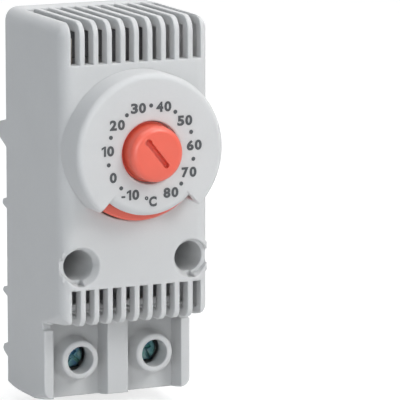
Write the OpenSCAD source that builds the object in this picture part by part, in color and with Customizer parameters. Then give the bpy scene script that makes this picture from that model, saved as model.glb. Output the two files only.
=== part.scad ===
// Small panel heater thermostat for a 35 mm mounting rail.
// Frame: X to the right, Y from the front towards the rail, Z up.
// The origin lies on the rail's centre line, in the plane where the rail's lips touch.

/* [Case] */
// Width of the case
case_w = 33; // [33:0.5:35]
// Depth of the case from its front face to the rail's seat
case_d = 30; // [30:0.5:32]
// Height of the case above the rail's centre line
case_top = 50.3; // [50:0.1:53]
// Height of the hood's lower edge, where the case steps back to the terminals
hood_z = -12.7; // [-12.9:0.1:-12.3]
// How far the terminal section is set back behind the front face
step_d = 10; // [9.5:0.5:10.5]
// Depth of the case below the rail's centre line, at its lowest point
case_low = 30.5; // [30:0.5:31]
// Wall thickness of the moulding
wall = 1.6; // [1.4:0.1:1.8]
// Radius of the hood's front, top and lower edges
edge_r = 3; // [2.5:0.5:3.5]

/* [Vents] */
// Number of vent slots in each row
slot_n = 10; // [8:1:10]
// Spacing of the slots
slot_pitch = 3; // [2.8:0.1:3]
// Width of a slot
slot_w = 1.95; // [1.4:0.05:2]
// Lower end of the upper slots
slot_up_z = 41.5; // [41:0.5:43]
// How far the upper slots run back over the top
slot_back = 23.5; // [18:0.5:24]
// Upper end of the lower slots
slot_low_z = -4.9; // [-6:0.1:-4.7]

/* [Scale and wheel] */
// Height of the scale's centre
dial_z = 24; // [23.5:0.5:24.5]
// Radius of the scale boss
boss_r = 16.2; // [16:0.1:16.3]
// How far the scale stands proud of the front face
boss_h = 7.15; // [6.8:0.05:7.5]
// Radius of the thumb wheel behind the scale
wheel_r = 14.9; // [14.4:0.1:15]
// Depth of the thumb wheel's face behind the scale's face
wheel_in = 5; // [4.4:0.1:5.2]
// Radius at which the thumb opening starts
notch_r = 13.2; // [12.9:0.1:13.6]
// Half the angle of the thumb opening
notch_a = 43.5; // [35:0.5:48]
// How far the knob stands proud of the scale
knob_h = 3.55; // [3:0.05:4]
// Temperature that the knob is set to
set_temp = 23.6; // [10:0.1:40]

/* [Terminals] */
// Distance from the middle to each terminal screw
term_x = 8.4; // [8.3:0.1:8.5]
// Height of the terminal screws
term_z = -21.7; // [-22:0.1:-21.5]
// Depth of the terminal pockets behind their ribs
pocket_d = 5; // [4.6:0.1:5.2]
// Radius of the opening for the screwdriver
driver_r = 2.9; // [2.8:0.1:3]
// Radius of the screw's head
head_r = 2.7; // [2.5:0.1:2.75]
// How far the clamps are open, of a full travel of 2.1
clamp_open = 2.1; // [0:0.1:2.1]

/* [Fixing] */
// Distance from the middle to each fixing hole
fix_x = 12.35; // [12.2:0.05:12.4]
// Radius of the fixing hole's wide front part
fix_r = 3.2; // [3.1:0.05:3.25]
// Radius of the fixing screw's hole in the floor
fix_bore_r = 1.8; // [1.6:0.1:2]
// Width of the mounting rail that the hooks fit
rail_w = 35; // [35]
// Play between the rail's lip and the hooks
rail_play = 0.25; // [0.2:0.05:0.4]

/* [Hidden] */
$fn = 64;
eps = 0.01;
half_w = case_w / 2;
front_y = -case_d;
step_y = -case_d + step_d;
floor_y = step_y + pocket_d;
plate_t = 2;
front_t = 2.7;
scale_t = 2.2;
scale_y = front_y - boss_h;
bow_r = 45;
bow_y = -10.25;
bow_z = bow_r - case_low;
slot_x0 = -slot_pitch * (slot_n - 1) / 2;
wheel_y = scale_y + wheel_in;
deg_per_10 = 34;
set_a = (set_temp - 35) / 10 * deg_per_10;
rail_edge = rail_w / 2;

// A flat outline in Y and Z, extruded along X about the middle
module along_x(w) {
    rotate([90, 0, 90])
        linear_extrude(w, center = true)
            children();
}

// A flat outline in X and Z, extruded from y0 to y1
module along_y(y0, y1) {
    translate([0, y1, 0])
        rotate([90, 0, 0])
            linear_extrude(y1 - y0)
                children();
}

// A cylinder along Y, from y0 to y1
module rod_y(x, z, r, y0, y1) {
    translate([x, y1, z])
        rotate([90, 0, 0])
            cylinder(r = r, h = y1 - y0);
}

// A revolved outline about an axis along Y: first number radius, second number -Y
module revolve_y(x, z) {
    translate([x, 0, z])
        rotate([90, 0, 0])
            rotate_extrude()
                children();
}

// The waste outside a rounded corner at the origin, for an edge that points to sx, sy
module corner(r, sx, sy) {
    scale([sx, sy])
        translate([-r, -r])
            difference() {
                square(r + 1);
                circle(r);
            }
}

// Side outline of the hood: Y and Z
module hood_side() {
    difference() {
        translate([front_y, hood_z])
            square([case_d, case_top - hood_z]);
        translate([front_y, case_top])
            corner(edge_r, -1, 1);
        translate([front_y, hood_z])
            corner(edge_r - 0.5, -1, -1);
        translate([0, case_top])
            corner(1, 1, 1);
    }
}

// Side outline of the terminal section, with its bowed foot
module terminal_side() {
    intersection() {
        translate([step_y, -case_low - 1])
            square([-step_y, case_low + 1 + hood_z + 1]);
        translate([bow_y, bow_z])
            circle(bow_r, $fn = 180);
    }
}

// Front outline of the whole case: X and Z
module case_front() {
    difference() {
        translate([-half_w, -case_low])
            square([case_w, case_top + case_low]);
        for (s = [-1, 1]) {
            translate([s * half_w, case_top])
                corner(edge_r, s, 1);
            translate([s * half_w, -case_low])
                corner(1, s, -1);
        }
    }
}

// Outline of the case from above, for a front at y0 with corners of radius r
module case_plan(y0, r) {
    difference() {
        translate([-half_w, y0])
            square([case_w, -y0]);
        for (s = [-1, 1])
            translate([s * half_w, y0])
                corner(r, s, -1);
    }
}

// The outside of the case as one solid block
module case_block() {
    intersection() {
        along_x(case_w + 2) hood_side();
        along_y(front_y - 1, 1) case_front();
        translate([0, 0, hood_z - 1])
            linear_extrude(case_top - hood_z + 2)
                case_plan(front_y, edge_r);
    }
    intersection() {
        along_x(case_w + 2) terminal_side();
        along_y(step_y - 1, 1) case_front();
        translate([0, 0, -case_low - 2])
            linear_extrude(case_low + 2 + hood_z + 1)
                case_plan(step_y, 0.3);
    }
}

// What is taken off the block's corners: round top corners, and lower corners that fade out to the rear
module corner_waste() {
    for (s = [-1, 1]) {
        translate([s * (half_w - edge_r), front_y + edge_r, case_top - edge_r])
            difference() {
                translate([s > 0 ? 0 : -edge_r - 1, -edge_r - 1, 0])
                    cube(edge_r + 1);
                sphere(r = edge_r);
            }
        translate([s * half_w, front_y + 2, hood_z])
            rotate([-8, 0, -8 * s])
                along_y(-3.5, 9)
                    corner(3.7, s, -1);
        translate([s * half_w, step_y, -29.45])
            rotate([-11, 0, -4 * s])
                along_y(-1, 8)
                    corner(2.2, s, -1);
    }
}

// The round scale boss with its eased front edge
module scale_boss() {
    revolve_y(0, dial_z)
        difference() {
            translate([0, case_d - 3])
                square([boss_r, boss_h + 3]);
            translate([boss_r, -scale_y])
                corner(1.2, 1, 1);
        }
}

// The space inside the case, open to the rear
module case_cavity() {
    inner = case_w - 2 * wall;
    translate([-inner / 2, front_y + front_t, hood_z + 1.8])
        cube([inner, case_d, case_top - hood_z - 4]);
    translate([-inner / 2, floor_y + wall, -case_low + 2])
        cube([inner, case_d, case_low + hood_z]);
    rod_y(0, dial_z, wheel_r + 0.3, scale_y + scale_t, front_y + front_t + 0.2);
    rod_y(0, dial_z, 6.3, scale_y + 1, scale_y + scale_t + 0.5);
    rod_y(0, dial_z, 6.5, scale_y - 1, scale_y + 1 + eps);
}

// The thumb opening: a sector cut out of the boss's lower rim, with a rounded edge at the scale
module thumb_opening() {
    reach = 30;
    intersection() {
        along_y(scale_y - 1, front_y)
            translate([0, dial_z])
                polygon([[0, 0], [-reach * tan(notch_a), -reach], [reach * tan(notch_a), -reach]]);
        revolve_y(0, dial_z)
            union() {
                translate([notch_r, case_d - 1])
                    square([reach, boss_h + 2.5]);
                translate([notch_r, -scale_y])
                    corner(1.9, 1, 1);
            }
    }
}

// One row of vent slots, cut along the side outline given as child
module slot_row() {
    for (i = [0 : slot_n - 1])
        translate([slot_x0 + i * slot_pitch, 0, 0])
            along_x(slot_w)
                children();
}

// The two terminal pockets between the ribs
module pockets() {
    pocket_w = 12.2;
    for (s = [-1, 1])
        along_y(step_y - 1, floor_y)
            translate([s * term_x, -case_low / 2 + hood_z / 2])
                square([pocket_w, case_low + hood_z + 10], center = true);
}

// The flared collar round a screwdriver opening
module collar(x) {
    revolve_y(x, term_z)
        polygon(concat(
            [[0, -floor_y - 1], [5.9, -floor_y - 1], [5.9, -floor_y]],
            [for (a = [0 : 15 : 60]) [5.9 - 1.5 * sin(a), -floor_y + 1.5 * (1 - cos(a))]],
            [[4.05, -step_y - 0.3], [3.75, -step_y], [0, -step_y]]));
}

module collars() {
    intersection() {
        union() {
            collar(-term_x);
            collar(term_x);
        }
        along_y(step_y - 1, 0)
            translate([0, term_z])
                square([29.2, 11.6], center = true);
    }
}

// The tube round each fixing screw, with the floor that its head draws against
module fixing_tubes() {
    intersection() {
        for (s = [-1, 1])
            rod_y(s * fix_x, 0, fix_r + 1.6, front_y + 1, 0);
        along_y(front_y, 0)
            translate([0, 10])
                square([case_w - 0.6, 50], center = true);
    }
}

// The ears on the side walls beside the rail
module rail_ear(z0, z1, out, low, high) {
    along_x(case_w)
        polygon([[-1, z0 - 0.01], [0, z0], [0.75 * out, z0 + 0.6 * low], [out, z0 + low], [out, z1 - high],
            [0.75 * out, z1 - 0.4 * high], [0, z1], [-1, z1 + 0.01]]);
}

module rail_ears() {
    difference() {
        union() {
            rail_ear(20.6, 26.5, 4.4, 2.6, 2);
            rail_ear(7.6, 9.9, 2.2, 0.8, 0.9);
            rail_ear(-11.1, -8.9, 2.4, 0.9, 1.1);
            rail_ear(-24.1, -21, 2.5, 1.4, 1.4);
        }
        translate([-half_w + wall, -2, -40])
            cube([case_w - 2 * wall, 20, 100]);
    }
}

// Ledges inside the side walls that the rear plate rests on
module plate_ledges() {
    for (s = [-1, 1], z = [[7, 38], [-27, -7]])
        along_y(-plate_t - 1.6, -plate_t)
            translate([s * (half_w - wall - 0.35), (z[0] + z[1]) / 2])
                square([1.1, z[1] - z[0]], center = true);
}

module housing() {
    color([0.8, 0.81, 0.82])
        difference() {
            union() {
                difference() {
                    union() {
                        difference() {
                            case_block();
                            corner_waste();
                        }
                        scale_boss();
                    }
                    case_cavity();
                    thumb_opening();
                    pockets();
                }
                collars();
                fixing_tubes();
                rail_ears();
                plate_ledges();
            }
            // Slots over the front and top
            slot_row()
                polygon([[front_y - 1, slot_up_z], [front_y + 4, slot_up_z], [front_y + 4, case_top - 3],
                    [front_y + slot_back, case_top - 3], [front_y + slot_back, case_top + 1],
                    [front_y - 1, case_top + 1]]);
            // Slots over the front and the hood's underside
            slot_row()
                polygon([[front_y - 1, slot_low_z], [front_y + 3.2, slot_low_z], [front_y + 3.2, hood_z + 3],
                    [step_y - 1.6, hood_z + 3], [step_y - 1.6, hood_z - 1], [front_y - 1, hood_z - 1]]);
            for (s = [-1, 1]) {
                // Fixing holes with a funnel mouth, a ledge at their outer side and a small notch below
                rod_y(s * fix_x, 0, fix_r, front_y - 1, -plate_t);
                translate([s * fix_x, front_y + 1.9, 0])
                    rotate([90, 0, 0])
                        cylinder(r1 = fix_r - 0.11, r2 = fix_r + 1.43, h = 2.9);
                rod_y(s * (fix_x + 0.65), 0, fix_r + 0.3, front_y - 1, front_y + 2.2);
                rod_y(s * fix_x, 0, fix_bore_r, -plate_t - 1, 1);
                translate([s * fix_x - 0.75, front_y - 1, -fix_r - 0.95])
                    cube([1.5, 3.9, 2]);
                // Screwdriver openings, wider where the screw's head sits
                rod_y(s * term_x, term_z, driver_r, step_y - 1, floor_y - 0.7);
                rod_y(s * term_x, term_z, driver_r + 0.8, floor_y - 0.7 - eps, floor_y + wall + 1);
                // Wire entries from below
                translate([s * term_x, -4.3, -case_low - 1])
                    cylinder(r = 1.8, h = 4);
                translate([s * term_x, -4.3, -case_low - 0.2])
                    cylinder(r1 = 2.3, r2 = 1.8, h = 0.8);
            }
        }
}

// A fixed hook over the rail's upper lip
module rail_hook(x) {
    translate([x, 0, 0])
        along_x(6)
            polygon([[-1, rail_edge + rail_play], [1 + rail_play, rail_edge + rail_play],
                [1 + rail_play, rail_edge - 1.3], [2.6, rail_edge - 1.3], [4.2, rail_edge + 0.6],
                [4.2, rail_edge + 2.3], [3.4, rail_edge + 3.1], [-1, rail_edge + 3.1]]);
}

module rear_plate() {
    plate_w = case_w - 2 * wall - 0.4;
    color([0.78, 0.79, 0.8])
        union() {
            difference() {
                along_y(-plate_t, 0)
                    difference() {
                        translate([-plate_w / 2, -case_low + 2.2])
                            square([plate_w, case_top + case_low - 4.6]);
                        for (s = [-1, 1])
                            translate([s * fix_x, 0])
                                circle(fix_r + 1.9);
                    }
                // Slot that guides the latch
                translate([-3.2, -plate_t - 1, -25.8])
                    cube([6.4, plate_t + 2, 6.8]);
            }
            rail_hook(-6);
            rail_hook(6);
            // Post that the latch's spring stands on
            translate([-1.3, -1, -28.1])
                cube([2.6, 4.2, 1.2]);
            // Guides at the latch's sides
            for (s = [-1, 1])
                translate([s * 5.9 - 0.8, -1, -28])
                    cube([1.6, 3.4, 9]);
        }
}

module rail_latch() {
    body_y = 0.15;
    color([0.8, 0.81, 0.82])
        difference() {
            union() {
                // Body with the nose that grips the rail's lower lip
                along_x(9.6)
                    polygon([[body_y, -rail_edge - rail_play], [1 + rail_play, -rail_edge - rail_play],
                        [1 + rail_play, -rail_edge + 1.3], [2.4, -rail_edge + 1.3],
                        [4.2, -rail_edge - 1.5], [4.2, -32.4], [3.6, -33], [body_y, -33]]);
                for (s = [-1, 1])
                    translate([s * 2.45 - 0.6, -plate_t - 0.4, -22.4])
                        cube([1.2, 3.4, 3]);
                // Flange inside the case that keeps the latch on the plate
                translate([-4.2, -plate_t - 1, -22.4])
                    cube([8.4, 0.8, 3]);
            }
            // Window for the spring and its post
            translate([-1.8, -0.5, -30])
                cube([3.6, 3.9, 9.5]);
            // Slot for the tip of a screwdriver
            translate([-2.4, 1.2, -32.6])
                cube([4.8, 10, 1.3]);
        }
}

// The latch's spring: mean radius, ends, wire radius and number of curls
spring_r = 1.2;
spring_lo = -26.9;
spring_hi = -20.5;
spring_wire = 0.2;
spring_curls = 6;
spring_per = 8;
spring_y = 1.85;

// Point on the spring's centre line after t curls
function spring_pt(t) =
    [spring_r * cos(360 * t), spring_y + spring_r * sin(360 * t),
        spring_lo + spring_wire + (spring_hi - spring_lo - 2 * spring_wire) * t / spring_curls];

// Ring of six points round the wire after t curls
function spring_ring(t) =
    let (c = spring_pt(t), n = [cos(360 * t), sin(360 * t), 0])
    [for (k = [0 : 5]) c + spring_wire * (cos(60 * k) * n + sin(60 * k) * [0, 0, 1])];

// Least gap between one curl and the next, measured on the centre line's points
spring_gap = min([for (i = [0 : spring_per * (spring_curls - 1)]) for (j = [i + 5 : i + spring_per + 3])
    if (j <= spring_per * spring_curls)
        norm(spring_pt(i / spring_per) - spring_pt(j / spring_per)) - 2 * spring_wire]);

module latch_spring() {
    rings = spring_curls * spring_per;
    pts = [for (i = [0 : rings]) each spring_ring(i / spring_per)];
    sides = [for (i = [0 : rings - 1]) for (k = [0 : 5])
        let (a = i * 6 + k, b = i * 6 + (k + 1) % 6)
        each [[a, b, b + 6], [a, b + 6, a + 6]]];
    cap_a = [for (k = [1 : 4]) [0, k + 1, k]];
    cap_b = [for (k = [1 : 4]) [rings * 6, rings * 6 + k, rings * 6 + k + 1]];
    color("lightsteelblue")
        polyhedron(points = pts, faces = concat(sides, cap_a, cap_b));
}

// The red wheel: a thumb rim behind the scale and the knob in front of it
module setting_wheel() {
    knob_y = -scale_y + knob_h;
    color("tomato")
        difference() {
            revolve_y(0, dial_z)
                difference() {
                    polygon([[0, 25.6], [4.4, 25.6], [4.4, 29.6], [wheel_r - 1.4, 29.6], [wheel_r - 1.4, 28.6],
                        [wheel_r, 28.6], [wheel_r, -wheel_y - 0.4], [wheel_r - 0.4, -wheel_y], [6.2, -wheel_y],
                        [6.2, -scale_y - 1.1], [5.87, -scale_y - 1.1], [5.75, knob_y - 1.3], [5.75, knob_y],
                        [0, knob_y]]);
                    translate([5.75, knob_y])
                        corner(1.3, 1, 1);
                }
            // Pointer slot for a fingernail or screwdriver
            translate([0, 0, dial_z])
                rotate([0, set_a, 0]) {
                    translate([-0.57, -knob_y - 1, -2.96])
                        cube([1.14, 2.6, 6.2]);
                    rod_y(0, 3.3, 0.74, -knob_y - 1, -knob_y + 1.6);
                    rod_y(0, -2.96, 0.6, -knob_y - 1, -knob_y + 1.6);
                }
            // Socket that turns the spindle, with a round mouth for its threaded part
            translate([-1.6, -29.8, dial_z - 1.6])
                cube([3.2, 3, 3.2]);
            rod_y(0, dial_z, 2.2, -27.2, -25);
        }
}

// The adjusting spindle: square head in the wheel, thread in the nut, tip on the lever
module spindle() {
    color("goldenrod")
        union() {
            translate([-1.5, -29.3, dial_z - 1.5])
                cube([3, 3, 3]);
            rod_y(0, dial_z, 2, -26.6, -20.2);
            revolve_y(0, dial_z)
                polygon([[0, 18.9], [0.8, 18.9], [1.3, 19.3], [1.3, 20.4], [0, 20.4]]);
        }
}

module spindle_nut() {
    color("goldenrod")
        difference() {
            rod_y(0, dial_z, 3.4, -25.4, -21.4);
            rod_y(0, dial_z, 2.05, -26, -21);
        }
}

// The moulded frame that carries the mechanism
module carrier() {
    color("dimgray")
        difference() {
            union() {
                along_y(-3.8, -plate_t)
                    difference() {
                        union() {
                            translate([-13.2, 8])
                                square([26.4, 37]);
                            translate([-7.4, -9])
                                square([14.8, 18]);
                        }
                        translate([-6, 30])
                            square([12, 9]);
                    }
                // Pad that the busbars lie on
                along_y(-5.4, -3)
                    translate([-7.4, -9])
                        square([14.8, 11]);
                // Legs and bridge that hold the spindle's nut
                for (s = [-1, 1])
                    translate([s * 12.3 - 0.9, -25.4, 20.5])
                        cube([1.8, 22.4, 7]);
                translate([-13.2, -25.4, 20.5])
                    cube([26.4, 3.2, 7]);
                rod_y(0, dial_z, 5, -25.4, -21.4);
                // Ears that hold the lever's pin
                for (s = [-1, 1])
                    translate([s * 6.2 - 0.8, -19.6, 8.6])
                        cube([1.6, 16, 4.4]);
            }
            rod_y(0, dial_z, 3.4, -26, -21);
            translate([-10, -17.4, 10.8])
                rotate([0, 90, 0])
                    cylinder(r = 0.8, h = 20);
        }
}

module lever_pin() {
    color("silver")
        translate([-7, -17.4, 10.8])
            rotate([0, 90, 0])
                cylinder(r = 0.8, h = 14);
}

// The lever that the spindle tilts: a rolled eye round the pin and a flat arm
module set_lever() {
    color("goldenrod")
        difference() {
            union() {
                translate([-5, -17.4, 10.8])
                    rotate([0, 90, 0])
                        cylinder(r = 1.5, h = 10);
                along_y(-18.8, -18)
                    polygon([[-5, 10.8], [5, 10.8], [4, 20], [4, 40], [-9.5, 40], [-9.5, 45.4], [-11.4, 46.6],
                        [-11.4, 36], [-4, 30], [-4, 20]]);
                translate([-5, -18.8, 10.2])
                    cube([10, 0.8, 2]);
            }
            translate([-10, -17.4, 10.8])
                rotate([0, 90, 0])
                    cylinder(r = 0.85, h = 20);
            // Open side of the rolled eye
            translate([-6, -17.6, 8])
                cube([12, 0.5, 2.2]);
        }
}

// The bimetal strip, riveted to the lever's upper end and free at its lower end
module bimetal_blade() {
    color("lightsteelblue")
        union() {
            along_y(-15, -14.4)
                polygon([[-3.4, 39.4], [3.4, 39.4], [3.4, 0], [2.4, -2.6], [-2.4, -2.6], [-3.4, 0]]);
            // Spacer between the lever and the strip
            translate([-3.4, -17.9, 32.6])
                cube([6.8, 3, 6.8]);
            for (z = [34.2, 37.8])
                rod_y(0, z, 1.3, -14.6, -13.9);
        }
}

module moving_contact() {
    color("silver")
        rod_y(0, 5, 1.5, -14.4, -13.4);
}

module fixed_contact() {
    color("silver")
        rod_y(0, 5, 1.7, -12.35, -10.8);
}

// The bracket behind the fixed contact, bent from the right busbar's strip
module fixed_bracket() {
    color("goldenrod")
        union() {
            translate([-2.5, -10.8, -3])
                cube([5, 0.8, 10.4]);
            translate([-2.5, -10.8, 1.6])
                cube([5, 4.6, 0.8]);
            translate([-2.5, -7, -1.6])
                cube([9.9, 0.8, 4]);
        }
}

module snap_magnet() {
    color("dimgray")
        translate([-2.5, -12.7, -2.6])
            cube([5, 1.9, 4]);
}

// A busbar: a strip from the clamp up to the mechanism
module busbar(s) {
    color("goldenrod")
        along_y(-6.2, -5.4)
            scale([s, 1])
                polygon([[5.9, -26], [10.9, -26], [10.9, -14], [7.4, -10.6], [7.4, 2], [5.2, 2], [5.2, -12],
                    [5.9, -13]]);
}

module busbar_left() {
    busbar(-1);
}

module busbar_right() {
    busbar(1);
}

// A clamp cage round the busbar: threaded block in front, wire seat behind
module cage(x) {
    open_y = clamp_open - 2.1;
    color("lightsteelblue")
        translate([x, open_y, term_z])
            difference() {
                translate([-3.6, -10.4, -3.5])
                    cube([7.2, 8.2, 7]);
                translate([-2.9, -8.4, -4])
                    cube([5.8, 5.2, 8]);
                rod_y(0, 0, 1.8, -11, -8);
            }
}

module cage_left() {
    cage(-term_x);
}

module cage_right() {
    cage(term_x);
}

// A captive terminal screw with a combined slot and cross
module terminal_screw(x, turn) {
    color("cadetblue")
        translate([x, 0, term_z])
            rotate([0, turn, 0])
                difference() {
                    union() {
                        revolve_y(0, 0)
                            polygon([[0, 13], [head_r, 13], [head_r, 14.3], [head_r - 0.5, 14.8], [0, 14.8]]);
                        rod_y(0, 0, 1.75, -13.2, -6.3);
                    }
                    translate([-head_r - 1, -15.8, -0.4])
                        cube([2 * head_r + 2, 1.9, 0.8]);
                    translate([-0.45, -15.8, -1.5])
                        cube([0.9, 2.2, 3]);
                }
}

module screw_left() {
    terminal_screw(-term_x, 40);
}

module screw_right() {
    terminal_screw(term_x, 65);
}

echo(least_gap_in_spring = spring_gap);

housing();
rear_plate();
rail_latch();
latch_spring();
setting_wheel();
spindle();
spindle_nut();
carrier();
lever_pin();
set_lever();
bimetal_blade();
moving_contact();
fixed_contact();
fixed_bracket();
snap_magnet();
busbar_left();
busbar_right();
cage_left();
cage_right();
screw_left();
screw_right();
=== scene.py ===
"""Looks of the panel heater thermostat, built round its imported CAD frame. Lengths are in metres."""

import bmesh
import bpy
from math import cos, pi, radians, sin
from mathutils import Matrix, Vector


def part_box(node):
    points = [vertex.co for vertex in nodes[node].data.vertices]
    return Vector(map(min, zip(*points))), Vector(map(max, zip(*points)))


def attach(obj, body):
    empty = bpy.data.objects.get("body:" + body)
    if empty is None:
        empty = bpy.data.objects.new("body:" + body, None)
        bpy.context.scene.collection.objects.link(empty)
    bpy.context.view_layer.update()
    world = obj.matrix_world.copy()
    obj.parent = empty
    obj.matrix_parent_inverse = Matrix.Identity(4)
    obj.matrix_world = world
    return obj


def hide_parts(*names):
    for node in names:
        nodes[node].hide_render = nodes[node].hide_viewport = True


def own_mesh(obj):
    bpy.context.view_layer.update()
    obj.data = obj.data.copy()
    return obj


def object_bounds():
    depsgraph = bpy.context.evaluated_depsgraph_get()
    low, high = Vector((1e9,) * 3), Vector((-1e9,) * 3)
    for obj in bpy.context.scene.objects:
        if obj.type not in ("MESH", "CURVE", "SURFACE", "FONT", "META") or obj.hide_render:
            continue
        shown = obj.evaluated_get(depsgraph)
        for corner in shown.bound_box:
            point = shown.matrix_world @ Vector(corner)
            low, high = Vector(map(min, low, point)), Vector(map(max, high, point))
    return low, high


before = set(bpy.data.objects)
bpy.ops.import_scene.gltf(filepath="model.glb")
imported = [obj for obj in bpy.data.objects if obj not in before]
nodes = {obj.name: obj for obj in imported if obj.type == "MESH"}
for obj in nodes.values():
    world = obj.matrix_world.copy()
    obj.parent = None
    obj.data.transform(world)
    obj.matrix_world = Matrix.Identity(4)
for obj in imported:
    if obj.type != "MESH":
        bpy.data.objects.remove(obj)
cad_low, cad_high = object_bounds()
MM = 0.001


def box_middle(node):
    """The middle of a CAD node's box."""
    low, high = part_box(node)
    return (low + high) / 2


# Places taken from the CAD boxes
floor_z = cad_low.z
scale_face_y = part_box("housing")[0].y
dial_z = box_middle("setting_wheel").z

# Turns what is drawn flat, as on a table, to stand upright and face the front
UPRIGHT = Matrix.Rotation(radians(90.0), 4, "X")


# Camera, fitted to the slots, scale dots and case edges of the photograph. It looks at a point near
# the case's right edge, because the thermostat stands at the left of the photograph.
CAMERA_AZIMUTH = radians(-24.8)
CAMERA_ELEVATION = radians(10.2)
CAMERA_REACH = 0.9
CAMERA_TARGET = Vector((14.183, -30.0, 11.96)) * MM
CAMERA_LENS_MM = 393.6
CAMERA_SENSOR_MM = 36.0


def place_camera():
    """A long lens that looks at the thermostat from the left and a little above."""
    ahead = cos(CAMERA_ELEVATION)
    back = Vector((sin(CAMERA_AZIMUTH) * ahead, -cos(CAMERA_AZIMUTH) * ahead, sin(CAMERA_ELEVATION)))
    right = Vector((cos(CAMERA_AZIMUTH), sin(CAMERA_AZIMUTH), 0.0))
    up = back.cross(right)
    data = bpy.data.cameras.new("photo_camera")
    data.sensor_width = CAMERA_SENSOR_MM
    data.lens = CAMERA_LENS_MM
    data.clip_start = 0.05
    data.clip_end = 20.0
    camera = bpy.data.objects.new("photo_camera", data)
    bpy.context.scene.collection.objects.link(camera)
    turn = Matrix((right, up, back)).transposed().to_4x4()
    camera.matrix_world = Matrix.Translation(CAMERA_TARGET + back * CAMERA_REACH) @ turn
    bpy.context.scene.camera = camera


# Light, floor and backdrop
WHITE = (1.0, 1.0, 1.0)
LIT_POINT = Vector((0.0, -0.03, 0.01))
ROOM_COLOUR = (0.84, 0.92, 1.0)
ROOM_STRENGTH = 0.15
BACKDROP_STRENGTH = 1.0
FLOOR_HALF_WIDTH = 4.0
FLOOR_BOUNCE = (0.8, 0.8, 0.8)
FLOOR_SHOWN = (0.4, 0.4, 0.4)
FLOOR_GLOW = 0.75


def softbox(name, offset, width, watts, tint=WHITE):
    """A square lamp that stands off the thermostat by the offset and faces it."""
    data = bpy.data.lights.new(name, "AREA")
    data.shape = "SQUARE"
    data.size = width
    data.energy = watts
    data.color = tint
    lamp = bpy.data.objects.new(name, data)
    lamp.location = LIT_POINT + Vector(offset)
    lamp.rotation_euler = (LIT_POINT - lamp.location).to_track_quat("-Z", "Y").to_euler()
    bpy.context.scene.collection.objects.link(lamp)


def place_softboxes():
    """Broad white light from above, a small key light at the right, and fillers round the case."""
    softbox("overhead_softbox", (0.0, -0.10, 0.80), width=0.8, watts=3.45)
    softbox("key_softbox", (0.36, -0.62, 0.50), width=0.3, watts=2.8, tint=(1.0, 1.0, 0.99))
    softbox("front_softbox", (-0.10, -0.95, 0.25), width=0.6, watts=0.5)
    softbox("camera_softbox", (-0.40, -0.80, 0.18), width=0.5, watts=2.2, tint=(0.97, 0.99, 1.0))
    softbox("left_softbox", (-0.85, -0.42, 0.30), width=0.6, watts=0.3, tint=(0.4, 0.66, 1.0))
    softbox("right_softbox", (0.55, -0.10, 0.62), width=0.5, watts=1.2, tint=(1.0, 0.995, 0.985))
    softbox("rear_softbox", (0.10, 0.70, 0.75), width=0.6, watts=1.9)


def plain_shader(tree, kind, colour, strength=None):
    """A background, diffuse or emission shader of one colour."""
    made = tree.nodes.new(kind)
    made.inputs["Color"].default_value = (*colour, 1.0)
    if strength is not None:
        made.inputs["Strength"].default_value = strength
    return made.outputs[0]


def seen_directly(tree):
    """1 for rays from the camera, in gloss and through glass, 0 for the light that falls on things."""
    path = tree.nodes.new("ShaderNodeLightPath")
    seen = path.outputs["Is Camera Ray"]
    for kind in ("Is Glossy Ray", "Is Transmission Ray"):
        either = tree.nodes.new("ShaderNodeMath")
        either.operation = "MAXIMUM"
        tree.links.new(seen, either.inputs[0])
        tree.links.new(path.outputs[kind], either.inputs[1])
        seen = either.outputs[0]
    return seen


def show_apart(tree, lighting, shown, output_kind):
    """Ends a node tree with one shader for its light on things, and another where it is seen itself."""
    mix = tree.nodes.new("ShaderNodeMixShader")
    tree.links.new(seen_directly(tree), mix.inputs[0])
    tree.links.new(lighting, mix.inputs[1])
    tree.links.new(shown, mix.inputs[2])
    out = tree.nodes.new(output_kind)
    tree.links.new(mix.outputs[0], out.inputs["Surface"])


def make_backdrop():
    """A world that lights things with a weak cool glow, and is seen as white."""
    world = bpy.data.worlds.new("studio")
    bpy.context.scene.world = world
    world.use_nodes = True
    tree = world.node_tree
    tree.nodes.clear()
    room = plain_shader(tree, "ShaderNodeBackground", ROOM_COLOUR, ROOM_STRENGTH)
    white = plain_shader(tree, "ShaderNodeBackground", WHITE, BACKDROP_STRENGTH)
    show_apart(tree, room, white, "ShaderNodeOutputWorld")


def floor_finish():
    """Pale floor that is seen almost white, and still shows the object's shadow."""
    finish = bpy.data.materials.new("pale_floor")
    finish.use_nodes = True
    tree = finish.node_tree
    tree.nodes.clear()
    bounce = plain_shader(tree, "ShaderNodeBsdfDiffuse", FLOOR_BOUNCE)
    shown = tree.nodes.new("ShaderNodeAddShader")
    tree.links.new(plain_shader(tree, "ShaderNodeBsdfDiffuse", FLOOR_SHOWN), shown.inputs[0])
    tree.links.new(plain_shader(tree, "ShaderNodeEmission", WHITE, FLOOR_GLOW), shown.inputs[1])
    show_apart(tree, bounce, shown.outputs[0], "ShaderNodeOutputMaterial")
    return finish


def lay_floor():
    """A wide flat floor under the lowest point of the thermostat."""
    deck = bmesh.new()
    bmesh.ops.create_grid(deck, x_segments=1, y_segments=1, size=FLOOR_HALF_WIDTH)
    bmesh.ops.translate(deck, verts=deck.verts, vec=(0.0, 0.0, floor_z))
    mesh = bpy.data.meshes.new("floor")
    deck.to_mesh(mesh)
    deck.free()
    mesh.materials.append(floor_finish())
    floor = bpy.data.objects.new("floor", mesh)
    bpy.context.scene.collection.objects.link(floor)


def studio():
    """Plain soft light on a pale floor."""
    bpy.context.scene.view_settings.view_transform = "Standard"
    make_backdrop()
    place_softboxes()
    lay_floor()


# Finishes. Noise is counted in grains to the metre.
NOISE_ROUGHNESS = 0.55
BEVEL_SAMPLES = 6
COSINE_OF_FULL_TURN = 0.7

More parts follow.
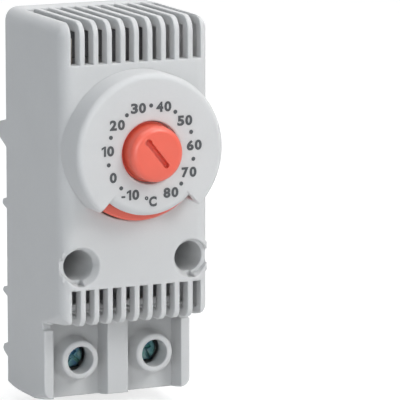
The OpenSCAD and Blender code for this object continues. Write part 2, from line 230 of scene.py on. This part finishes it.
# Blender's Mix node has sockets for every kind of value, and these are its colours
MIX_FIRST_COLOUR = 6
MIX_SECOND_COLOUR = 7
MIX_COLOUR_RESULT = 2


def shade(colour, factor):
    """The colour made lighter or darker, with no part above 1."""
    return tuple(min(1.0, part * factor) for part in colour)


class Finish:
    """One material, with its pattern built from noise in object coordinates."""

    def __init__(self, name, colour, roughness, metallic=0.0):
        self.material = bpy.data.materials.new(name)
        self.material.diffuse_color = (*colour, 1.0)
        self.material.use_nodes = True
        self.tree = self.material.node_tree
        self.tree.nodes.clear()
        out = self.tree.nodes.new("ShaderNodeOutputMaterial")
        self.shader = self.tree.nodes.new("ShaderNodeBsdfPrincipled")
        self.link(self.shader.outputs[0], out.inputs["Surface"])
        self.same_all_over(Base_Color=(*colour, 1.0), Roughness=roughness, Metallic=metallic)
        self.place = self.tree.nodes.new("ShaderNodeTexCoord").outputs["Object"]
        self.normal = None

    def same_all_over(self, **inputs):
        """Sets the shader's own sockets, for what doesn't vary on the surface."""
        for key, value in inputs.items():
            self.shader.inputs[key.replace("_", " ")].default_value = value

    def link(self, output, socket):
        """Joins two nodes."""
        self.tree.links.new(output, socket)

    def node(self, kind, **inputs):
        """A new node with the given inputs set, with an underscore for each space in their names."""
        made = self.tree.nodes.new(kind)
        for key, value in inputs.items():
            made.inputs[key.replace("_", " ")].default_value = value
        return made

    def noise(self, per_metre, detail, stretch=None):
        """Noise of so many grains to the metre, which a small stretch draws out into lines on its axis."""
        source = self.place
        if stretch:
            mapping = self.node("ShaderNodeMapping", Scale=stretch)
            self.link(source, mapping.inputs["Vector"])
            source = mapping.outputs[0]
        made = self.node("ShaderNodeTexNoise", Scale=per_metre, Detail=detail, Roughness=NOISE_ROUGHNESS)
        self.link(source, made.inputs["Vector"])
        return made.outputs[0]

    def spread(self, value, low, high, start=0.3, end=0.7):
        """The value stretched so that start becomes low and end becomes high."""
        made = self.node("ShaderNodeMapRange", From_Min=start, From_Max=end, To_Min=low, To_Max=high)
        self.link(value, made.inputs["Value"])
        return made.outputs[0]

    def blend(self, share, first, second):
        """A colour between two colours or two colour sockets."""
        made = self.tree.nodes.new("ShaderNodeMix")
        made.data_type = "RGBA"
        for index, value in ((MIX_FIRST_COLOUR, first), (MIX_SECOND_COLOUR, second)):
            if hasattr(value, "links"):
                self.link(value, made.inputs[index])
            else:
                made.inputs[index].default_value = (*value, 1.0)
        self.link(share, made.inputs[0])
        return made.outputs[MIX_COLOUR_RESULT]

    def paint(self, output):
        """Takes the colour from a node."""
        self.link(output, self.shader.inputs["Base Color"])

    def roughen(self, output):
        """Takes the roughness from a node."""
        self.link(output, self.shader.inputs["Roughness"])

    def eased(self, radius):
        """Small moulded or tumbled radius along every edge. Returns how much the surface turns there."""
        edge = self.node("ShaderNodeBevel", Radius=radius)
        edge.samples = BEVEL_SAMPLES
        self.normal = edge.outputs[0]
        true = self.tree.nodes.new("ShaderNodeNewGeometry")
        cosine = self.tree.nodes.new("ShaderNodeVectorMath")
        cosine.operation = "DOT_PRODUCT"
        self.link(edge.outputs[0], cosine.inputs[0])
        self.link(true.outputs["Normal"], cosine.inputs[1])
        return self.spread(cosine.outputs["Value"], 1.0, 0.0, start=COSINE_OF_FULL_TURN, end=1.0)

    def rimmed(self, turned, strength, tone, highlight_colour):
        """The tone, drawn towards another colour where the surface turns at an edge, used as a painted
        highlight along the edges.
        """
        share = self.tree.nodes.new("ShaderNodeMath")
        share.operation = "MULTIPLY"
        self.link(turned, share.inputs[0])
        share.inputs[1].default_value = strength
        return self.blend(share.outputs[0], tone, highlight_colour)

    def relief(self, height, depth, strength):
        """Bumps the surface, on top of the relief that it has already."""
        bump = self.node("ShaderNodeBump", Strength=strength, Distance=depth)
        self.link(height, bump.inputs["Height"])
        if self.normal:
            self.link(self.normal, bump.inputs["Normal"])
        self.normal = bump.outputs[0]

    def done(self):
        """Gives the shader the relief, and hands over the material."""
        if self.normal:
            self.link(self.normal, self.shader.inputs["Normal"])
        return self.material


def case_moulding(name, colour, darkest_cloud=0.975):
    """Light grey moulded plastic with faint clouds, a fine spark-eroded grain and a painted highlight
    along its edges.
    """
    made = Finish(name, colour, roughness=0.5)
    made.same_all_over(Specular_IOR_Level=0.34, Subsurface_Weight=0.7, Subsurface_Scale=1.0)
    made.same_all_over(Subsurface_Radius=(1.3 * MM, 1.3 * MM, 1.3 * MM))
    turned = made.eased(0.55 * MM)
    clouds = made.spread(made.noise(55.0, detail=2.0), 0.0, 1.0)
    tone = made.blend(clouds, shade(colour, darkest_cloud), shade(colour, 1.02))
    specks = made.spread(made.noise(2600.0, detail=2.0), 0.0, 0.35)
    tone = made.blend(specks, tone, shade(colour, 0.95))
    # Edges painted lighter where the surface turns: a painted highlight.
    made.paint(made.rimmed(turned, 0.12, tone, highlight_colour=shade(colour, 1.12)))
    made.roughen(made.spread(made.noise(900.0, detail=3.0), 0.5, 0.62))
    made.relief(made.noise(5200.0, detail=2.0), depth=0.012 * MM, strength=0.55)
    made.relief(made.noise(140.0, detail=1.0), depth=0.05 * MM, strength=0.12)
    return made.done()


def knob_moulding(name, colour, highlight_colour):
    """Satin red moulded plastic that lets a little light in, with a painted highlight along its edges."""
    made = Finish(name, colour, roughness=0.34)
    made.same_all_over(Specular_IOR_Level=0.85, Subsurface_Weight=0.12, Subsurface_Scale=1.0)
    made.same_all_over(Subsurface_Radius=(1.2 * MM, 0.35 * MM, 0.25 * MM))
    turned = made.eased(0.14 * MM)
    clouds = made.spread(made.noise(160.0, detail=2.0), 0.0, 1.0)
    tone = made.blend(clouds, shade(colour, 0.95), colour)
    # Edges painted a paler red where the surface turns: a painted highlight.
    made.paint(made.rimmed(turned, 0.3, tone, highlight_colour))
    made.roughen(made.spread(made.noise(1500.0, detail=3.0), 0.28, 0.40))
    made.relief(made.noise(4200.0, detail=2.0), depth=0.008 * MM, strength=0.4)
    return made.done()


def printed_ink(name, colour):
    """Pad-printed dark grey ink, slightly broken at its edges."""
    made = Finish(name, colour, roughness=0.55)
    made.same_all_over(Specular_IOR_Level=0.35)
    thin_places = made.spread(made.noise(5200.0, detail=3.0), 0.0, 1.0)
    made.paint(made.blend(thin_places, colour, shade(colour, 1.35)))
    made.roughen(made.spread(made.noise(3000.0, detail=2.0), 0.45, 0.65))
    made.relief(made.noise(6500.0, detail=2.0), depth=0.006 * MM, strength=0.6)
    return made.done()


def rolled_strip(name, colour, stained, roughness):
    """Metal strip with the fine upright lines of the rolls, and stained patches."""
    made = Finish(name, colour, roughness, metallic=1.0)
    made.eased(0.06 * MM)
    lines = made.noise(9000.0, detail=2.0, stretch=(1.0, 1.0, 0.04))
    patches = made.spread(made.noise(260.0, detail=4.0), 0.0, 1.0)
    tone = made.blend(patches, colour, stained)
    made.paint(made.blend(made.spread(lines, 0.0, 0.4), tone, shade(colour, 0.72)))
    made.roughen(made.spread(lines, roughness - 0.07, roughness + 0.12))
    made.relief(lines, depth=0.004 * MM, strength=0.5)
    return made.done()


def passivated_zinc(name):
    """Blue-green chromated zinc with drifting tints and small pits."""
    blue = (0.07, 0.15, 0.26)
    green = (0.16, 0.36, 0.32)
    pale = (0.42, 0.52, 0.50)
    pitted = (0.07, 0.13, 0.17)
    made = Finish(name, (0.30, 0.46, 0.50), roughness=0.3, metallic=1.0)
    made.eased(0.08 * MM)
    drift = made.spread(made.noise(420.0, detail=3.0), 0.0, 1.0, start=0.38, end=0.62)
    pale_places = made.noise(650.0, detail=2.0, stretch=(1.0, 1.3, 0.8))
    paleness = made.spread(pale_places, 0.0, 0.55, start=0.5, end=0.7)
    tone = made.blend(paleness, made.blend(drift, blue, green), pale)
    pits = made.noise(5200.0, detail=3.0)
    made.paint(made.blend(made.spread(pits, 0.35, 0.0, start=0.3, end=0.5), tone, pitted))
    made.roughen(made.spread(made.noise(1600.0, detail=3.0), 0.24, 0.42))
    made.relief(pits, depth=0.006 * MM, strength=0.45)
    return made.done()


def drawn_wire(name):
    """Bright steel, drawn through a die."""
    dull = (0.48, 0.49, 0.51)
    bright = (0.68, 0.69, 0.70)
    made = Finish(name, (0.60, 0.61, 0.63), roughness=0.28, metallic=1.0)
    grain = made.noise(7000.0, detail=2.0)
    made.paint(made.blend(made.spread(grain, 0.0, 1.0), dull, bright))
    made.roughen(made.spread(made.noise(2500.0, detail=2.0), 0.22, 0.38))
    made.relief(grain, depth=0.003 * MM, strength=0.4)
    return made.done()


def turned_brass(name):
    """Brass from the lathe, with fine rings round the spindle's axis."""
    clean = (0.80, 0.61, 0.30)
    tarnished = (0.68, 0.47, 0.20)
    made = Finish(name, (0.78, 0.58, 0.27), roughness=0.26, metallic=1.0)
    made.eased(0.06 * MM)
    rings = made.noise(16000.0, detail=1.0, stretch=(0.02, 1.0, 0.02))
    patches = made.spread(made.noise(300.0, detail=3.0), 0.0, 1.0)
    made.paint(made.blend(patches, clean, tarnished))
    made.roughen(made.spread(rings, 0.2, 0.36))
    made.relief(rings, depth=0.004 * MM, strength=0.5)
    return made.done()


def filled_moulding(name):
    """Dark glass-filled plastic, with short pale fibres at its surface."""
    plastic = (0.16, 0.162, 0.168)
    fibre = (0.27, 0.27, 0.275)
    made = Finish(name, (0.17, 0.172, 0.178), roughness=0.55)
    made.eased(0.1 * MM)
    fibres = made.noise(2400.0, detail=2.0, stretch=(1.0, 0.25, 1.0))
    made.paint(made.blend(made.spread(fibres, 0.0, 0.5, start=0.55, end=0.75), plastic, fibre))
    made.roughen(made.spread(fibres, 0.45, 0.65))
    made.relief(made.noise(3600.0, detail=2.0), depth=0.01 * MM, strength=0.5)
    return made.done()


def contact_silver(name):
    """Polished silver alloy with a little brown tarnish."""
    polished = (0.88, 0.88, 0.85)
    tarnished = (0.52, 0.47, 0.38)
    made = Finish(name, (0.86, 0.86, 0.83), roughness=0.22, metallic=1.0)
    made.eased(0.1 * MM)
    patches = made.noise(900.0, detail=4.0)
    made.paint(made.blend(made.spread(patches, 0.0, 0.6), polished, tarnished))
    made.roughen(made.spread(patches, 0.16, 0.34))
    made.relief(made.noise(5000.0, detail=2.0), depth=0.003 * MM, strength=0.4)
    return made.done()


def sintered_magnet(name):
    """Dull dark ferrite with a gritty surface."""
    dark = (0.045, 0.045, 0.05)
    light = (0.10, 0.10, 0.105)
    made = Finish(name, (0.06, 0.06, 0.065), roughness=0.62)
    made.eased(0.12 * MM)
    grit = made.noise(5200.0, detail=3.0)
    made.paint(made.blend(made.spread(grit, 0.0, 1.0), dark, light))
    made.roughen(made.spread(grit, 0.55, 0.75))
    made.relief(grit, depth=0.015 * MM, strength=0.5)
    return made.done()


CASE_GREY = (0.625, 0.63, 0.633)
KNOB_RED = (0.78, 0.10, 0.054)
# Paler red of the knob's painted edge highlight
KNOB_HIGHLIGHT_RED = (1.0, 0.34, 0.27)
INK_GREY = (0.064, 0.069, 0.074)
BRASS = (0.80, 0.60, 0.29)
STAINED_BRASS = (0.66, 0.46, 0.20)
TINNING = (0.60, 0.605, 0.60)
STAINED_TINNING = (0.50, 0.50, 0.49)
PLATING = (0.64, 0.61, 0.55)
STAINED_PLATING = (0.50, 0.47, 0.42)
BIMETAL = (0.62, 0.61, 0.60)
STAINED_BIMETAL = (0.52, 0.46, 0.42)


def finish_cad_nodes():
    """Gives each CAD node its material, and returns the materials by node."""
    brass = rolled_strip("stamped_brass", BRASS, STAINED_BRASS, roughness=0.3)
    tinned = rolled_strip("tinned_brass", TINNING, STAINED_TINNING, roughness=0.36)
    zinc = passivated_zinc("blue_zinc")
    turned = turned_brass("turned_brass")
    silver = contact_silver("contact_silver")
    given = {
        "housing": case_moulding("case_grey", CASE_GREY),
        "rear_plate": case_moulding("rear_grey", shade(CASE_GREY, 0.96), darkest_cloud=0.965),
        "rail_latch": case_moulding("latch_grey", shade(CASE_GREY, 0.98), darkest_cloud=0.969),
        "latch_spring": drawn_wire("spring_wire"),
        "setting_wheel": knob_moulding("setting_red", KNOB_RED, KNOB_HIGHLIGHT_RED),
        "spindle": turned,
        "spindle_nut": turned,
        "carrier": filled_moulding("carrier_black"),
        "lever_pin": drawn_wire("pin_steel"),
        "set_lever": rolled_strip("plated_lever", PLATING, STAINED_PLATING, roughness=0.34),
        "bimetal_blade": rolled_strip("bimetal", BIMETAL, STAINED_BIMETAL, roughness=0.3),
        "moving_contact": silver,
        "fixed_contact": silver,
        "fixed_bracket": brass,
        "snap_magnet": sintered_magnet("ferrite"),
        "busbar_left": tinned,
        "busbar_right": tinned,
        "cage_left": zinc,
        "cage_right": zinc,
        "screw_left": zinc,
        "screw_right": zinc,
    }
    for name, finish in given.items():
        piece = nodes[name]
        if piece.material_slots:
            for slot in piece.material_slots:
                slot.material = finish
        else:
            piece.data.materials.append(finish)
    return given


# New pieces
MERGE_DISTANCE = 1e-5


def piece_from(name, shape, finish, body):
    """Makes a piece of a bmesh, which it frees, and lets it ride on a CAD body."""
    mesh = bpy.data.meshes.new(name)
    bmesh.ops.recalc_face_normals(shape, faces=shape.faces)
    shape.to_mesh(mesh)
    shape.free()
    mesh.materials.append(finish)
    piece = bpy.data.objects.new(name, mesh)
    bpy.context.scene.collection.objects.link(piece)
    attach(piece, body)
    return piece


def thickened(shape, height):
    """Gives the flat faces of a bmesh a height."""
    grown = bmesh.ops.extrude_face_region(shape, geom=shape.faces[:], use_keep_orig=True)
    tops = [v for v in grown["geom"] if isinstance(v, bmesh.types.BMVert)]
    bmesh.ops.translate(shape, verts=tops, vec=(0.0, 0.0, height))
    return shape


def gather(parts):
    """Several bmeshes as one."""
    whole = bmesh.new()
    for part in parts:
        mesh = bpy.data.meshes.new("part")
        part.to_mesh(mesh)
        part.free()
        whole.from_mesh(mesh)
        bpy.data.meshes.remove(mesh)
    return whole


# Printed scale. The ink stands proud of the boss and sinks into it, so that no gap shows.
INK_OUT = 0.025 * MM
INK_IN = 0.03 * MM
INK_DEPTH = INK_OUT + INK_IN

SCALE_LOW = -10
SCALE_HIGH = 80
SCALE_STEP = 10
HEAT_AT_TOP = (SCALE_LOW + SCALE_HIGH) / 2
TURN_PER_STEP = radians(34.0)
FIGURE_RING = 9.62 * MM
DOT_RING = 9.6 * MM
DOT_RADIUS = 0.43 * MM
DOT_SIDES = 28

FIGURE_HEIGHT = 2.12 * MM
FIGURE_WIDTH = 1.56 * MM
ONE_WIDTH = 0.98 * MM
FIGURE_GAP = 0.22 * MM
FIGURE_WEIGHT = 0.046

# What stands below the knob, with its places across and up from the dial's centre
MINUS_TEN_PLACE = (-4.06 * MM, -8.47 * MM)
MINUS_PLACE = (-6.2 * MM, -8.75 * MM)
MINUS_SIZE = (0.86 * MM, 0.4 * MM)
UNIT_PLACE = (0.34 * MM, -10.13 * MM)
UNIT_SIZE = (1.72 * MM, FIGURE_HEIGHT)
UNIT_WEIGHT = 0.05
DEGREE_PLACE = (-1.06 * MM, -9.36 * MM)
DEGREE_RADIUS = 0.4 * MM
DEGREE_HOLE = 0.14 * MM

# Outlines in shares of their box. The figure 1 is a stem with a flag at its upper left.
ONE_OUTLINE = ((0.52, 0.0), (1.0, 0.0), (1.0, 1.0), (0.62, 1.0), (0.0, 0.84), (0.0, 0.64), (0.52, 0.76))
MINUS_OUTLINE = ((0.0, 0.0), (1.0, 0.0), (1.0, 1.0), (0.0, 1.0))


def on_scale(radius, heat):
    """A temperature's place on a ring of the scale, across and up from the dial's centre."""
    turn = (heat - HEAT_AT_TOP) / SCALE_STEP * TURN_PER_STEP
    return radius * sin(turn), radius * cos(turn)


def on_face(shape, size, place):
    """Makes ink of a flat-lying bmesh: its box scaled to the size, on the scale's face at the place."""
    low = [min(v.co[axis] for v in shape.verts) for axis in range(3)]
    high = [max(v.co[axis] for v in shape.verts) for axis in range(3)]
    to_middle = Matrix.Translation([-(a + b) / 2 for a, b in zip(low, high)])
    wanted = (*size, INK_DEPTH)
    grow = Matrix.Diagonal([w / (b - a) for w, a, b in zip(wanted, low, high)]).to_4x4()
    there = Matrix.Translation((place[0], scale_face_y + (INK_IN - INK_OUT) / 2, dial_z + place[1]))
    bmesh.ops.transform(shape, matrix=there @ UPRIGHT @ grow @ to_middle, verts=shape.verts)
    return shape


def flat_outline(points):
    """A plate of the given outline."""
    shape = bmesh.new()
    shape.faces.new([shape.verts.new((across, up, 0.0)) for across, up in points])
    return thickened(shape, 1.0)


def lettered(sign, weight):
    """A bmesh of one generic upright sign, its strokes thickened by the weight."""
    curve = bpy.data.curves.new("figures", "FONT")
    curve.body = sign
    curve.size = 1.0
    curve.offset = weight
    curve.extrude = 0.5
    curve.resolution_u = 5
    lettering = bpy.data.objects.new("figures", curve)
    bpy.context.scene.collection.objects.link(lettering)
    bpy.context.view_layer.update()
    evaluated = lettering.evaluated_get(bpy.context.evaluated_depsgraph_get())
    mesh = bpy.data.meshes.new_from_object(evaluated)
    bpy.data.objects.remove(lettering)
    bpy.data.curves.remove(curve)
    shape = bmesh.new()
    shape.from_mesh(mesh)
    bpy.data.meshes.remove(mesh)
    bmesh.ops.remove_doubles(shape, verts=shape.verts, dist=MERGE_DISTANCE)
    return shape


def number(text, place):
    """The bold narrow figures of a number, side by side, with their middle at the place."""
    widths = [ONE_WIDTH if sign == "1" else FIGURE_WIDTH for sign in text]
    left = place[0] - (sum(widths) + FIGURE_GAP * (len(text) - 1)) / 2
    figures = []
    for sign, width in zip(text, widths):
        shape = flat_outline(ONE_OUTLINE) if sign == "1" else lettered(sign, FIGURE_WEIGHT)
        figures.append(on_face(shape, (width, FIGURE_HEIGHT), (left + width / 2, place[1])))
        left += width + FIGURE_GAP
    return figures


def spot(radius, place, hole=0.0):
    """A bmesh of a printed dot, or of a small ring if it has a hole."""
    shape = bmesh.new()
    bmesh.ops.create_circle(shape, cap_ends=not hole, segments=DOT_SIDES, radius=radius)
    if hole:
        bmesh.ops.create_circle(shape, segments=DOT_SIDES, radius=hole)
        bmesh.ops.bridge_loops(shape, edges=shape.edges[:])
    thickened(shape, INK_DEPTH)
    there = Matrix.Translation((place[0], scale_face_y + INK_IN, dial_z + place[1]))
    bmesh.ops.transform(shape, matrix=there @ UPRIGHT, verts=shape.verts)
    return shape


def print_scale():
    """A figure for every step with a dot halfway to the next, and the degree sign with C."""
    ink = printed_ink("scale_ink", INK_GREY)
    figures = []
    for heat in range(0, SCALE_HIGH + SCALE_STEP, SCALE_STEP):
        figures += number(str(heat), on_scale(FIGURE_RING, heat))
    figures += number("10", MINUS_TEN_PLACE)
    figures.append(on_face(flat_outline(MINUS_OUTLINE), MINUS_SIZE, MINUS_PLACE))
    figures.append(on_face(lettered("C", UNIT_WEIGHT), UNIT_SIZE, UNIT_PLACE))
    figures.append(spot(DEGREE_RADIUS, DEGREE_PLACE, DEGREE_HOLE))
    piece_from("scale_figures", gather(figures), ink, "case")
    halfway = range(SCALE_LOW + SCALE_STEP // 2, SCALE_HIGH, SCALE_STEP)
    dots = [spot(DOT_RADIUS, on_scale(DOT_RING, heat)) for heat in halfway]
    piece_from("scale_dots", gather(dots), ink, "case")


# Latch spring
WIRE_RADIUS = 0.2 * MM
WIRE_SIDES = 12
COIL_RADIUS = 1.2 * MM
COIL_LENGTH = 6.4 * MM
COIL_TURNS = 6
STEPS_PER_TURN = 28


def wind_spring(finish):
    """The latch's spring as a smooth round wire on the same turns as its CAD node."""
    middle = box_middle("latch_spring")
    seat_z = middle.z - COIL_LENGTH / 2
    steps = COIL_TURNS * STEPS_PER_TURN
    rise = (COIL_LENGTH - 2 * WIRE_RADIUS) / steps
    shape = bmesh.new()
    bmesh.ops.create_circle(shape, segments=WIRE_SIDES, radius=WIRE_RADIUS)
    start = Matrix.Translation((middle.x + COIL_RADIUS, middle.y, seat_z + WIRE_RADIUS))
    bmesh.ops.transform(shape, matrix=start @ UPRIGHT, verts=shape.verts)
    bmesh.ops.spin(
        shape, geom=shape.verts[:] + shape.edges[:], cent=(middle.x, middle.y, 0.0), axis=(0.0, 0.0, 1.0),
        dvec=(0.0, 0.0, rise), angle=2 * pi * COIL_TURNS, steps=steps,
    )
    ends = [edge for edge in shape.edges if edge.is_boundary]
    bmesh.ops.holes_fill(shape, edges=ends, sides=WIRE_SIDES)
    for face in shape.faces:
        face.smooth = len(face.verts) == 4
    piece = piece_from("spring_wire", shape, finish, "case")
    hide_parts("latch_spring")
    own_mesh(piece)


place_camera()
studio()
finishes = finish_cad_nodes()
print_scale()
wind_spring(finishes["latch_spring"])
